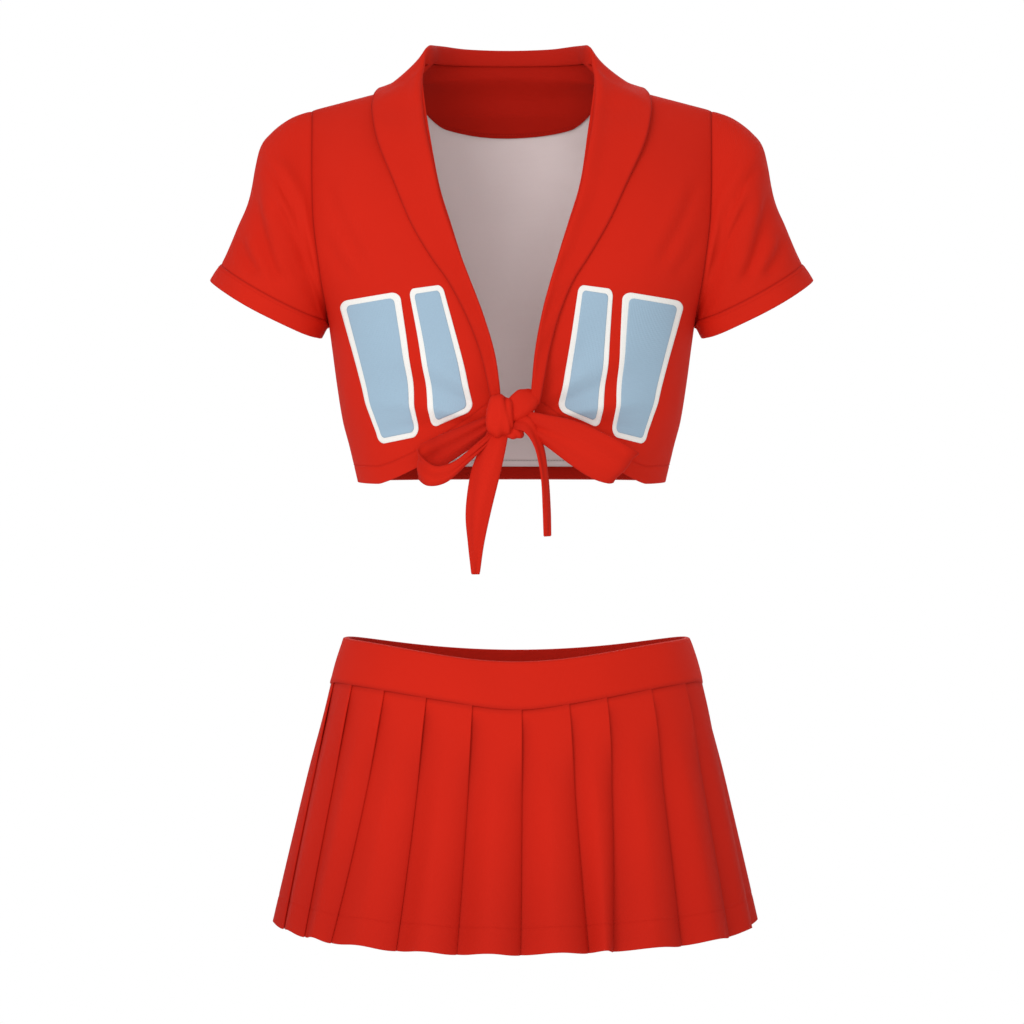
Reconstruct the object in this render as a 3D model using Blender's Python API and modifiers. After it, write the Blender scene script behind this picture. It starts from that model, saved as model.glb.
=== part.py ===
"""A two-piece cheer uniform, as worn: a tie-front crop top with a shawl collar, and a pleated skirt.

Lengths are in millimetres and angles in degrees until a vertex is placed. The wearer faces -Y, and the
wearer's left is +X. The origin is the centre of the waist, inside the top of the waistband.
"""

import math

import bmesh
import bpy
from mathutils import Vector

MM = 0.001
CLOTH = 1.0  # one layer of double knit
LAYER_GAP = 0.5  # between two layers that lie on each other
SEAM_GAP = 0.8  # each side of a seam

# Skirt
WAIST_X, WAIST_Y = 164.0, 112.0  # half width and half depth at the top of the waistband
SEAM_X, SEAM_Y = 177.0, 124.0  # the same at the waist seam
HEM_X, HEM_Y = 230.0, 168.0  # the same at the skirt's hem
WAIST_SIDE_Z = 12.0
FRONT_DIP, BACK_DIP = 16.0, 19.0  # how far the waist drops from the hips to the middle
BAND_HEIGHT = 43.0
SKIRT_LENGTH = 224.0
ELASTIC_THICKNESS, ELASTIC_HEIGHT = 1.6, 35.0
PLEATS = 22
PLEAT_PHASE = 0.17  # where the first pleat's fold is, in pleats from the middle of the front
EVEN_SPACING = 0.088  # evens out the pleats round the oval waist
PLEAT_UNDERLAP = 0.5  # share of a pleat that lies under its neighbour
PLEAT_RISE_TOP, PLEAT_RISE_HEM = 4.2, 13.0  # how far a pleat's fold stands over its hidden edge
PLEAT_TOP_GAP = 1.6

# Top
HEM_Z = 160.0
UNDERARM_Z = 318.0
SHOULDER_X, SHOULDER_Z = 189.0, 511.0  # the tip of the shoulder seam
NECK_X = 84.0  # where the shoulder seam meets the collar
SHOULDER_ROUND = 110.0  # the height over which the chest rounds over to the shoulder seam
BODY_SQUARENESS = 2.4
SIDE_X = ((HEM_Z, 146), (208, 158), (256, 164), (UNDERARM_Z, 173), (366, 180), (414, 186), (SHOULDER_Z, SHOULDER_X))
ARM_ROOM, ARM_ROOM_OVER = 19.0, 75.0  # above the underarm the body's girth passes the armhole by this
CHEST_Y = ((HEM_Z, 96), (245, 115), (330, 128), (400, 117), (460, 95), (SHOULDER_Z, 70))
BACK_Y = ((HEM_Z, 82), (245, 88), (330, 98), (400, 102), (460, 97), (SHOULDER_Z, 80))
BACK_NECK_Z = 550.0
FACING_DROP = 55.0
FRONT_RISE, FRONT_RISE_FROM, FRONT_RISE_OVER = 68.0, 125.0, 110.0  # the front hem climbs to the knot
ROLL_LINE = (  # the collar's fold, from the middle of the back to the knot
    (0, 64, 569), (42, 56, 571), (70, 32, 574), (79, 4, 570), (80, -16, 551), (79.5, -38, 528),
    (77, -64, 500), (70, -93, 465), (61, -112, 424), (50, -123, 391), (37.5, -130, 356),
    (26, -132, 321), (18.5, -129, 285), (12, -124, 247),
)
COLLAR_EDGE = (  # the collar's outer edge, from the middle of the back to the knot
    (0, 92, 508), (52, 84, 510), (100, 46, 520), (131, 4, 527), (134, -22, 519), (131, -44, 505),
    (124, -70, 478), (108, -94, 441), (91, -108, 403), (73, -118, 372), (57, -126, 348),
    (42, -129, 318), (30, -127, 288), (14, -124, 249),
)
BACK_COLLAR_SHARE = 3.0 / 13.0  # the part of both curves that goes round the neck
COLLAR_LIFT = 4.6  # the under collar's clearance over the chest

# Sleeves
SLEEVE_TOP = ((189, 511), (209, 503.5), (227, 490), (238.5, 473), (248, 428), (259, 401), (271.5, 372), (284, 350))
SLEEVE_UNDER = ((174.5, 317), (176.5, 312), (180, 299))
SLEEVE_DEPTH = (60, 63, 58, 52)
CUFF_FROM = 0.85
SLEEVE_CLEARANCE = 2.0

# Bow
BOW_Y = -136.0
KNOT_WRAP = ((-10, BOW_Y, 222), (12, 12, 20.5))
KNOT_CORE = ((10.5, BOW_Y + 1, 227), (8, 9, 15))
LOOPS = {  # route, then half width and half depth along it
    "right": (((-24, -134, 216), (-48, -134, 196), (-66, -130, 183), (-88, -124, 172)), (6, 20, 24, 13), (5, 7, 8, 5)),
    "left": (((20.5, -134, 221), (55, -133, 201), (85, -127, 184), (112, -118, 172)), (6, 13, 18, 18), (4, 4, 4, 4)),
}
TAILS = {
    "right": (((-15, -136, 199), (-23, -144, 178), (-30, -143, 140), (-34, -140, 73)), (8, 15, 14, 4), (3.5, 3, 2.5, 2)),
    "left": (((21, -135, 208), (29, -136, 191), (33, -136, 155), (35, -135, 107)), (3, 3.5, 3.2, 3.2), (5, 11, 12, 8)),
}

# Chest stripes: the outline's corners as x, z from the lower inner one, anticlockwise on the wearer's left
STRIPES = {
    "outer": ((90, 205), (124, 197), (161, 330), (103, 339)),
    "inner": ((39, 230), (78, 212), (94, 341), (63, 345)),
}
STRIPE_BORDER = 5.0
STRIPE_THICKNESS, STRIPE_GAP = 0.5, 0.8


def clamp(value, low=0.0, high=1.0):
    return max(low, min(high, value))


def mix(a, b, share):
    return a + (b - a) * share


def spline(points, t):
    """A point at t, from 0 to 1, on a smooth curve through evenly spaced points."""
    points = [Vector(p) if hasattr(p, "__len__") else Vector((p,) * 3) for p in points]
    place = clamp(t) * (len(points) - 1)
    i = min(int(place), len(points) - 2)
    f = place - i
    b, c = points[i], points[i + 1]
    a = points[i - 1] if i else b * 2 - c
    d = points[i + 2] if i + 2 < len(points) else c * 2 - b
    return b + (c - a) * (f / 2) + (a * 2 - b * 5 + c * 4 - d) * (f * f / 2) + (b * 3 - a - c * 3 + d) * (f**3 / 2)


def table(pairs, key):
    """The value at key on a smooth curve through (key, value) pairs."""
    key = clamp(key, pairs[0][0], pairs[-1][0])
    i = max(n for n, pair in enumerate(pairs[:-1]) if pair[0] <= key)

    def slope(n):
        (k0, v0), (k1, v1) = pairs[max(n - 1, 0)], pairs[min(n + 1, len(pairs) - 1)]
        return (v1 - v0) / (k1 - k0)

    (k0, v0), (k1, v1) = pairs[i], pairs[i + 1]
    f = (key - k0) / (k1 - k0)
    bend = slope(i) * f * (1 - f) ** 2 - slope(i + 1) * f * f * (1 - f)
    return v0 * (1 + 2 * f) * (1 - f) ** 2 + v1 * f * f * (3 - 2 * f) + (k1 - k0) * bend


# ---------------------------------------------------------------- making solids


def material(name, colour, roughness):
    found = bpy.data.materials.get(name)
    if found:
        return found
    made = bpy.data.materials.new(name)
    made.use_nodes = True
    shader = made.node_tree.nodes["Principled BSDF"]
    shader.inputs["Base Color"].default_value = (*colour, 1)
    shader.inputs["Roughness"].default_value = roughness
    shader.inputs["Metallic"].default_value = 0.0
    return made


def red_knit():
    return material("red_knit", (0.62, 0.018, 0.008), 0.75)


def white_twill():
    return material("white_twill", (0.86, 0.84, 0.80), 0.7)


def blue_twill():
    return material("blue_twill", (0.34, 0.47, 0.58), 0.7)


def elastic_white():
    return material("elastic_white", (0.80, 0.80, 0.78), 0.85)


def interfacing_white():
    return material("interfacing_white", (0.78, 0.77, 0.75), 0.9)


def finish(name, bm, finish_material, thickness=None):
    """Makes a named object from bm and gives it a thickness, half to each side."""
    mesh = bpy.data.meshes.new(name)
    bm.to_mesh(mesh)
    bm.free()
    mesh.shade_smooth()
    obj = bpy.data.objects.new(name, mesh)
    PARTS.objects.link(obj)
    mesh.materials.append(finish_material)
    if thickness:
        shell = obj.modifiers.new("thickness", "SOLIDIFY")
        shell.thickness = thickness * MM
        shell.offset = 0
    return obj


def patch(name, point, across, along, finish_material, thickness=CLOTH, ring=False):
    """A shell over a grid: point(u, v) gives each place, u and v from 0 to 1. A ring closes on itself in u."""
    bm = bmesh.new()
    bmesh.ops.create_grid(bm, x_segments=across, y_segments=along, size=0.5)
    for vertex in bm.verts:
        u, v = clamp(vertex.co.x + 0.5), clamp(vertex.co.y + 0.5)
        vertex.co = Vector(point(0.0 if ring and u > 0.9999 else u, v)) * MM
    if ring:
        bmesh.ops.remove_doubles(bm, verts=bm.verts, dist=1e-7)
    return finish(name, bm, finish_material, thickness)


def pod(name, route, widths, depths, finish_material, around=12, rings=12):
    """A soft closed form along a route, its half width in the route's side direction and half depth in Y."""
    bm = bmesh.new()
    bmesh.ops.create_uvsphere(bm, u_segments=around, v_segments=rings, radius=1)
    for vertex in bm.verts:
        t = math.acos(clamp(vertex.co.z, -1, 1)) / math.pi
        girth = Vector((vertex.co.x, vertex.co.y))
        round_end = clamp(math.sin(math.pi * t) * 2.2)
        girth = girth.normalized() * round_end if girth.length > 1e-6 else Vector((0, 0))
        ahead = spline(route, t + 0.02) - spline(route, t - 0.02)
        side = ahead.cross(Vector((0, 1, 0))).normalized()
        at = spline(route, t) + side * girth.x * spline(widths, t).x + Vector((0, girth.y * spline(depths, t).x, 0))
        vertex.co = at * MM
    bmesh.ops.recalc_face_normals(bm, faces=bm.faces)
    return finish(name, bm, finish_material)


def ball(name, centre, radii, finish_material):
    bm = bmesh.new()
    bmesh.ops.create_uvsphere(bm, u_segments=16, v_segments=10, radius=1)
    for vertex in bm.verts:
        vertex.co = Vector(c + r * p for c, r, p in zip(centre, radii, vertex.co)) * MM
    return finish(name, bm, finish_material)


def offset(point, distance):
    """point moved along its surface's normal."""
    step = 1e-3

    def moved(u, v):
        across = Vector(point(min(u + step, 1), v)) - Vector(point(max(u - step, 0), v))
        along = Vector(point(u, min(v + step, 1))) - Vector(point(u, max(v - step, 0)))
        return Vector(point(u, v)) + across.cross(along).normalized() * distance

    return moved


def mirrored(point):
    """The same surface on the other side of the body."""

    def other(u, v):
        at = Vector(point(u, v))
        return Vector((-at.x, at.y, at.z))

    return other


# ---------------------------------------------------------------- the body that the top hangs on


def shoulder_z(x):
    """Height of the shoulder line, which rises to the neck."""
    inward = SHOULDER_X - abs(x)
    return SHOULDER_Z + 0.17 * inward + 0.006 * max(0, inward - 55) ** 2


def smooth(share):
    share = clamp(share)
    return share * share * (3 - 2 * share)


def body_depth(x, z, depths):
    room = ARM_ROOM * smooth((z - UNDERARM_Z) / ARM_ROOM_OVER)
    girth = clamp(abs(x) / (table(SIDE_X, z) + room))
    around = (1 - girth**BODY_SQUARENESS) ** (1 / BODY_SQUARENESS)
    below = clamp((shoulder_z(x) - z) / SHOULDER_ROUND)
    return table(depths, z) * around * math.sqrt(1 - (1 - below) ** 2)


def chest(x, z):
    return Vector((x, -body_depth(x, z, CHEST_Y) - SEAM_GAP, z))


def back(x, z):
    return Vector((x, body_depth(x, z, BACK_Y) + SEAM_GAP, z))


def laid_on(body, at, lie):
    """at, moved out along the body's normal until it lies clear of it."""
    side = -1 if body is chest else 1
    z = min(at.z, shoulder_z(at.x) - 1)
    here = body(at.x, z)
    across, up = body(at.x + 0.5, z).y - here.y, here.y - body(at.x, z - 0.5).y
    normal = Vector((-across, 0.5, -up)).normalized() * side
    return at + normal * max(0, lie - (at - here).dot(normal))


def front_hem_z(x):
    climb = clamp((FRONT_RISE_FROM - x) / FRONT_RISE_OVER)
    return HEM_Z + FRONT_RISE * climb**1.25


def roll_x(z):
    """How far the opening's edge is from the middle at height z."""
    front = [(p[2], p[0]) for p in reversed(ROLL_LINE[5:])]
    return table(front, z)


def eased(t):
    return math.sin(t * math.pi / 2)


def front_panel(u, v):
    """From the opening to the side, and from the hem to the shoulder."""
    height = eased(v)
    inner = roll_x(mix(ROLL_LINE[-1][2], SHOULDER_Z, height)) + 1.5
    outer = table(SIDE_X, mix(HEM_Z, SHOULDER_Z, height))
    x = mix(inner, outer, eased(u))
    return chest(x, mix(front_hem_z(x), shoulder_z(x), height))


def back_top_z(x):
    inside = clamp(abs(x) / NECK_X)
    neck = BACK_NECK_Z + (shoulder_z(NECK_X) - BACK_NECK_Z) * inside**2.2
    return neck if abs(x) < NECK_X else shoulder_z(x)


def back_panel(u, v):
    side = 2 * u - 1
    height = eased(v)
    x = table(SIDE_X, mix(HEM_Z, SHOULDER_Z, height)) * math.sin(side * math.pi / 2)
    return back(x, mix(HEM_Z, back_top_z(x), height))


def back_neck(u, v):
    """The part of the back panel, below its neck edge, that the facing lies against."""
    x = (NECK_X - 6) * (2 * u - 1)
    drop = FACING_DROP * (1 - 0.3 * (2 * u - 1) ** 2)
    return back(x, back_top_z(x) - 3 - drop * (1 - v))


def neck_facing(u, v):
    return offset(back_neck, CLOTH + 6 * LAYER_GAP)(u, v)


# ---------------------------------------------------------------- collar


def collar_fall(t, s):
    """The collar from its fold (s 0) to its edge (s 1), at t from the middle of the back to the knot."""
    fold, edge = spline(ROLL_LINE, t), spline(COLLAR_EDGE, t)
    if t > BACK_COLLAR_SHARE:
        return laid_on(chest, fold.lerp(edge, s), COLLAR_LIFT + CLOTH)
    bulge = Vector((edge.x, edge.y * 1.6, 0)).normalized() * 20 * s * (1 - s)
    return laid_on(back, fold.lerp(edge, s) + bulge, CLOTH + 3 * LAYER_GAP)


def front_collar(u, v):
    return collar_fall(mix(BACK_COLLAR_SHARE + 0.006, 0.985, u), mix(0.0, 1.0, v))


def back_collar(u, v):
    side = 2 * u - 1
    at = collar_fall(abs(side) * (BACK_COLLAR_SHARE - 0.006), v)
    return Vector((math.copysign(at.x, side), at.y, at.z))


def collar_stand(u, v):
    """Inside the back collar: from the neck seam up to just under the fold."""
    side = 2 * u - 1
    fold = spline(ROLL_LINE, abs(side) * (BACK_COLLAR_SHARE - 0.01))
    seam = back(NECK_X * math.sin(abs(side) * math.pi / 2), back_top_z(NECK_X * math.sin(abs(side) * math.pi / 2)))
    at = seam.lerp(fold, mix(0.06, 0.95, v))
    inward = Vector((at.x, at.y * 1.4, 0)).normalized() * (CLOTH + 1.2)
    at -= inward
    return Vector((math.copysign(at.x, side), at.y, at.z))


# ---------------------------------------------------------------- sleeves


def sleeve(u, v):
    """Round the arm, and from the armhole to the cuff's edge."""
    top, under = spline([(x, 0, z) for x, z in SLEEVE_TOP], v), spline([(x, 0, z) for x, z in SLEEVE_UNDER], v)
    turn = 2 * math.pi * u
    at = (top + under) / 2 + (top - under) / 2 * math.cos(turn)
    side, away = math.sin(turn), smooth(v / 0.4)
    seam_x = table(SIDE_X, at.z)
    seam_y = math.copysign(body_depth(seam_x, at.z, BACK_Y if side > 0 else CHEST_Y), side)
    at.y = mix(seam_y, spline(SLEEVE_DEPTH, v).x * side, away)
    at.x = mix(seam_x, at.x, away) + SLEEVE_CLEARANCE
    return at


# ---------------------------------------------------------------- skirt


def skirt_ring(turn, level, out=0.0):
    """A place on the skirt. turn 0 is the front, a quarter the wearer's left. level 0 is the waist's top edge,
    1 the waist seam and 2 the hem."""
    angle = 2 * math.pi * turn - EVEN_SPACING * math.sin(4 * math.pi * turn)
    if level <= 1:
        half_x, half_y = mix(WAIST_X, SEAM_X, level), mix(WAIST_Y, SEAM_Y, level)
        drop = BAND_HEIGHT * level
    else:
        half_x, half_y = mix(SEAM_X, HEM_X, level - 1), mix(SEAM_Y, HEM_Y, level - 1)
        drop = BAND_HEIGHT + SKIRT_LENGTH * (level - 1)
    along_y = math.cos(angle)
    dip = (FRONT_DIP if along_y > 0 else BACK_DIP) * along_y**2
    return Vector(((half_x + out) * math.sin(angle), -(half_y + out) * along_y, WAIST_SIDE_Z - dip - drop))


def band(start, end, out, top=0.0, bottom=1.0):
    return lambda u, v: skirt_ring(mix(start, end, u), mix(bottom, top, v), out)


def pleat(index):
    """One knife pleat, from the edge hidden under its neighbour to its own fold."""
    pitch = 1.0 / PLEATS
    top_level = 1 + PLEAT_TOP_GAP / SKIRT_LENGTH

    def point(u, v):
        level = mix(2.0, top_level, v)
        rise = mix(PLEAT_RISE_HEM, PLEAT_RISE_TOP, v)
        turn = (index + PLEAT_PHASE - PLEAT_UNDERLAP + (1 + PLEAT_UNDERLAP) * u) * pitch
        return skirt_ring(turn, level, rise * (u - 1))

    return point


# ---------------------------------------------------------------- chest stripes


def stripe(corners, inset, lift):
    """A flat strip laid on the chest, its border taken off all round."""
    middle = sum((Vector(c) for c in corners), Vector((0, 0))) / 4

    def corner(index):
        out = Vector(corners[index]) - middle
        return middle + out * (1 - inset * 1.3 / out.length)

    def point(u, v):
        low, high = corner(0).lerp(corner(1), u), corner(3).lerp(corner(2), u)
        return chest(*low.lerp(high, v))

    return offset(point, lift)


# ---------------------------------------------------------------- the uniform


def make_top():
    red = red_knit()
    patch("back_panel", back_panel, 24, 12, red)
    patch("back_neck_facing", neck_facing, 12, 2, red)
    patch("collar_stand", collar_stand, 16, 3, red)
    patch("back_collar", back_collar, 18, 4, red)
    lift = CLOTH + LAYER_GAP
    for side, other in (("left", lambda p: p), ("right", mirrored)):
        patch(f"{side}_front_panel", other(front_panel), 18, 16, red)
        outward = 1 if side == "left" else -1
        for layer, (name, finish_material) in enumerate(
            (("under_collar", red), ("collar_interfacing", interfacing_white()), ("upper_collar", red))
        ):
            surface = offset(other(front_collar), outward * lift * (layer - 2))
            patch(f"{side}_{name}", surface, 18, 5, finish_material)


def make_sleeves():
    for side, other in (("left", lambda p: p), ("right", mirrored)):
        patch(f"{side}_sleeve", other(lambda u, v: sleeve(u, mix(0, CUFF_FROM - 0.01, v))), 20, 7, red_knit(), ring=True)
        patch(f"{side}_cuff", other(lambda u, v: sleeve(u, mix(CUFF_FROM, 1, v))), 20, 2, red_knit(), ring=True)


def make_bow():
    ball("bow_knot_wrap", *KNOT_WRAP, red_knit())
    ball("bow_knot_core", *KNOT_CORE, red_knit())
    for side, form in LOOPS.items():
        pod(f"{side}_bow_loop", *form, red_knit())
    for side, form in TAILS.items():
        pod(f"{side}_bow_tail", *form, red_knit(), around=10)


def make_stripes():
    backing_lift = CLOTH / 2 + STRIPE_THICKNESS / 2 + STRIPE_GAP
    face_lift = backing_lift + STRIPE_THICKNESS + STRIPE_GAP
    for side, other in (("left", lambda p: p), ("right", mirrored)):
        for place, corners in STRIPES.items():
            backing = other(stripe(corners, 0, backing_lift))
            face = other(stripe(corners, STRIPE_BORDER, face_lift))
            patch(f"{side}_{place}_stripe_backing", backing, 6, 9, white_twill(), STRIPE_THICKNESS)
            patch(f"{side}_{place}_stripe", face, 6, 9, blue_twill(), STRIPE_THICKNESS)


def make_waistband():
    seam = SEAM_GAP / 1000
    halves = {"front": (-0.25 + seam, 0.25 - seam), "back": (0.25 + seam, 0.75 - seam)}
    elastic_out = -(CLOTH / 2 + 2 * LAYER_GAP + ELASTIC_THICKNESS / 2)
    facing_out = elastic_out - ELASTIC_THICKNESS / 2 - 2 * LAYER_GAP - CLOTH / 2
    margin = (1 - ELASTIC_HEIGHT / BAND_HEIGHT) / 2
    for half, (start, end) in halves.items():
        patch(f"waistband_{half}", band(start, end, 0), 24, 2, red_knit())
        patch(f"waistband_{half}_facing", band(start, end, facing_out), 24, 2, red_knit())
    elastic = band(-0.25, 0.75, elastic_out, margin, 1 - margin)
    patch("waistband_elastic", elastic, 48, 1, elastic_white(), ELASTIC_THICKNESS, ring=True)


def make_pleats():
    for index in range(PLEATS):
        patch(f"pleat_{index + 1:02d}", pleat(index), 5, 5, red_knit())


for old in list(bpy.data.objects):
    bpy.data.objects.remove(old)
PARTS = bpy.data.collections.new("cheer_uniform")
bpy.context.scene.collection.children.link(PARTS)
make_top()
make_sleeves()
make_bow()
make_stripes()
make_waistband()
make_pleats()
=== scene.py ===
"""The cheer uniform's looks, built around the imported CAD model.

Lengths are in millimetres until a mesh is made. The wearer faces -Y, and the wearer's left is +X.
"""

import math

import bmesh
import bpy
import numpy as np
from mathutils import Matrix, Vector


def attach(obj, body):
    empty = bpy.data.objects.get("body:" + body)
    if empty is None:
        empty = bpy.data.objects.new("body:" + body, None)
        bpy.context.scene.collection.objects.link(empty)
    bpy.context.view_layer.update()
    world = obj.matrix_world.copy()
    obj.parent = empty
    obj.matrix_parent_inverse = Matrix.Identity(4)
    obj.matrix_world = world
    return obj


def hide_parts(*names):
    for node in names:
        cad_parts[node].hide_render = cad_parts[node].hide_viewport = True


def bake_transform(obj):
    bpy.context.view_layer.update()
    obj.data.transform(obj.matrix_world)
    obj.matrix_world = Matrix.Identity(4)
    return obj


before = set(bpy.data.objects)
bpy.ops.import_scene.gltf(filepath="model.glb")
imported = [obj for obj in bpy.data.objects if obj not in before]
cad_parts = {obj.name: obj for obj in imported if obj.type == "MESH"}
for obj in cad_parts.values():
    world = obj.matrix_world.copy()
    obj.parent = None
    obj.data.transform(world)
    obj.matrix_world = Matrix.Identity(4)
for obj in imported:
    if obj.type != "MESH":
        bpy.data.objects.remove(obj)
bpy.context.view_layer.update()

MM = 0.001
TAU = 2 * math.pi
MIRROR, LEVEL = np.array([-1, 1, 1]), np.array([1, 1, 0])

# ---- the same shapes as part.py

WAIST_X, WAIST_Y = 164.0, 112.0
SEAM_X, SEAM_Y = 177.0, 124.0
HEM_X, HEM_Y = 233.0, 168.0
WAIST_SIDE_Z, FRONT_DIP, BACK_DIP = 12.0, 16.0, 19.0
BAND_HEIGHT, SKIRT_LENGTH = 43.0, 224.0
PLEATS, PLEAT_PHASE, EVEN_SPACING = 22, 0.17, 0.088

HEM_Z, UNDERARM_Z = 160.0, 309.0
SHOULDER_X, SHOULDER_Z, NECK_X = 189.0, 511.0, 84.0
SHOULDER_ROUND, BODY_SQUARENESS = 110.0, 2.4
SIDE_X = (
    (HEM_Z, 145.5), (194, 153.5), (217, 159.5), (251, 165), (285, 169.5), (318, 174), (366, 181), (414, 186.5),
    (SHOULDER_Z, SHOULDER_X),
)
ARM_ROOM, ARM_ROOM_OVER = 19.0, 75.0
CHEST_Y = ((HEM_Z, 96), (245, 115), (330, 128), (400, 117), (460, 95), (SHOULDER_Z, 70))
BACK_Y = ((HEM_Z, 82), (245, 88), (330, 98), (400, 102), (460, 97), (SHOULDER_Z, 80))
BACK_NECK_Z = 550.0
FRONT_RISE, FRONT_RISE_FROM, FRONT_RISE_OVER = 68.0, 125.0, 110.0
ROLL_LINE = (
    (0, 66, 573.5), (41, 58, 574.5), (67, 34, 576.5), (76.5, 4, 573), (79, -16, 553), (79.5, -38, 528),
    (77.5, -64, 500), (71, -93, 465), (62.3, -112, 424), (51.2, -123, 391), (39, -130, 356),
    (27.6, -132, 321), (19, -129, 285), (14.5, -125, 247),
)
COLLAR_EDGE = (
    (0, 92, 508), (52, 84, 510), (98, 46, 520), (123.5, 6, 527), (130.5, -22, 520), (130.5, -44, 506),
    (124, -70, 478), (108, -94, 441), (91, -108, 403), (73, -118, 372), (57, -126, 348),
    (43, -129, 318), (33, -127, 288), (23, -125, 250),
)
BACK_COLLAR_SHARE = 3.0 / 13.0
SLEEVE_TOP = ((189, 511), (209, 503.5), (227, 490), (238.5, 473), (248, 428), (259, 401), (271.5, 372), (284, 350))
SLEEVE_UNDER = ((172.5, 308), (176, 305), (180.5, 297))
SLEEVE_DEPTH = (60, 63, 58, 52)


def mix(a, b, share):
    return a + (b - a) * share


def smooth(share):
    share = np.clip(share, 0, 1)
    return share * share * (3 - 2 * share)


def bump(distance, width):
    """A round ridge: 1 where distance is 0, and 0 beyond about two widths."""
    return np.exp(-((distance / width) ** 2))


def unit(vectors):
    return vectors / np.maximum(np.linalg.norm(vectors, axis=-1, keepdims=True), 1e-9)


def spline(points, t):
    """Points at t, from 0 to 1, on a smooth curve through evenly spaced points."""
    p = np.array(points, float)
    if p.ndim == 1:
        p = p[:, None]
    p = np.vstack([2 * p[0] - p[1], p, 2 * p[-1] - p[-2]])
    place = np.clip(np.asarray(t, float), 0, 1) * (len(p) - 3)
    i = np.minimum(place.astype(int), len(p) - 4)
    f = (place - i)[..., None]
    a, b, c, d = (p[i + n] for n in range(4))
    return b + (c - a) * (f / 2) + (2 * a - 5 * b + 4 * c - d) * (f * f / 2) + (3 * b - a - 3 * c + d) * (f**3 / 2)


def collar_line(line, t):
    """Points on one side of a line that goes round the neck. t is 0 at the middle of the back."""
    other_side = [(-x, y, z) for x, y, z in line[:0:-1]]
    return spline(other_side + list(line), 0.5 + t / 2)


def table(pairs, key):
    """The values at key on a smooth curve through (key, value) pairs."""
    k, v = np.array(pairs, float).T
    first, last = np.r_[0, 0 : len(k) - 1], np.r_[1 : len(k), len(k) - 1]
    slope = (v[last] - v[first]) / (k[last] - k[first])
    key = np.clip(key, k[0], k[-1])
    i = np.clip(np.searchsorted(k, key, side="right") - 1, 0, len(k) - 2)
    span = k[i + 1] - k[i]
    f = (key - k[i]) / span
    bend = slope[i] * f * (1 - f) ** 2 - slope[i + 1] * f * f * (1 - f)
    return v[i] * (1 + 2 * f) * (1 - f) ** 2 + v[i + 1] * f * f * (3 - 2 * f) + span * bend


def points(*parts):
    return np.stack(np.broadcast_arrays(*[np.asarray(p, float) for p in parts]), -1)


def shoulder_z(x):
    inward = SHOULDER_X - np.where(np.abs(x) < 60, 30 + x * x / 120, np.abs(x))
    return SHOULDER_Z + 0.26 * inward + 0.00725 * np.maximum(0, inward - 77.2) ** 2


def body_depth(x, z, depths):
    room = ARM_ROOM * smooth((z - UNDERARM_Z) / ARM_ROOM_OVER)
    girth = np.clip(np.abs(x) / (table(SIDE_X, z) + room), 0, 1)
    around = (1 - girth**BODY_SQUARENESS) ** (1 / BODY_SQUARENESS)
    below = np.clip((shoulder_z(x) - z) / SHOULDER_ROUND, 0, 1)
    return table(depths, z) * around * np.sqrt(1 - (1 - below) ** 2)


def chest(x, z):
    return points(x, -body_depth(x, z, CHEST_Y) - 0.5, z)


def back(x, z):
    return points(x, body_depth(x, z, BACK_Y) + 0.5, z)


def back_top_z(x):
    inside = np.clip(np.abs(x) / NECK_X, 0, 1)
    neck = BACK_NECK_Z + (shoulder_z(NECK_X) - BACK_NECK_Z) * inside**2.2
    return np.where(np.abs(x) < NECK_X, neck, shoulder_z(x))


def front_hem_z(x):
    climb = np.clip((FRONT_RISE_FROM - x) / FRONT_RISE_OVER, 0, 1)
    return HEM_Z + FRONT_RISE * climb**1.25


def roll_x(z):
    return table([(p[2], p[0]) for p in reversed(ROLL_LINE[5:])], z)


def body_normal(body, x, z):
    """The body's outward normal, kept off the shoulder line, where the depth has no slope."""
    z = np.minimum(z, shoulder_z(x) - 1.5)
    across, along = body(x + 0.25, z) - body(x - 0.25, z), body(x, z) - body(x, z - 0.5)
    n = unit(points(-across[..., 1] / 0.5, np.ones_like(x), -along[..., 1] / 0.5))
    return -n if body is chest else n


def run_from_end(p, axis):
    """How far along the cloth each point is from its grid's last column (axis 1) or row (axis 0)."""
    steps = np.flip(np.linalg.norm(np.diff(p, axis=axis), axis=-1), axis)
    return np.concatenate([np.flip(np.cumsum(steps, axis), axis), 0 * p[..., 0].take([0], axis)], axis)


def laid_on(body, at, lie, soft=2.0):
    """at, eased out along the body's normal until it lies clear of it."""
    x, z = at[..., 0], np.minimum(at[..., 2], shoulder_z(at[..., 0]) - 1.5)
    n = body_normal(body, x, z)
    short = lie - ((at - body(x, z)) * n).sum(-1)
    push = (short + np.sqrt(short * short + soft * soft)) / 2
    return at + n * push[..., None]


def skirt_ring(turn, level, out=0.0):
    angle = TAU * turn - EVEN_SPACING * np.sin(2 * TAU * turn)
    in_band, below = np.minimum(level, 1), np.maximum(level - 1, 0)
    half_x = mix(WAIST_X, SEAM_X, in_band) + (HEM_X - SEAM_X) * below
    half_y = mix(WAIST_Y, SEAM_Y, in_band) + (HEM_Y - SEAM_Y) * below
    along_y = np.cos(angle)
    front_dip = mix((0.5 + 0.5 * np.cos(math.pi * np.sin(angle))) ** 0.85, along_y**2, smooth(below))
    dip = np.where(along_y > 0, FRONT_DIP * front_dip, BACK_DIP * along_y**2)
    x = SEAM_X * np.sin(angle)
    lift = (3.6 * (1 - np.exp(-((x / 45) ** 2))) + 1.0 * smooth((x - 60) / 80)) * smooth(along_y / 0.35)
    drop = (BAND_HEIGHT - lift) * in_band + (SKIRT_LENGTH + lift) * below
    return points((half_x + out) * np.sin(angle), -(half_y + out) * along_y, WAIST_SIDE_Z - dip - drop)


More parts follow.
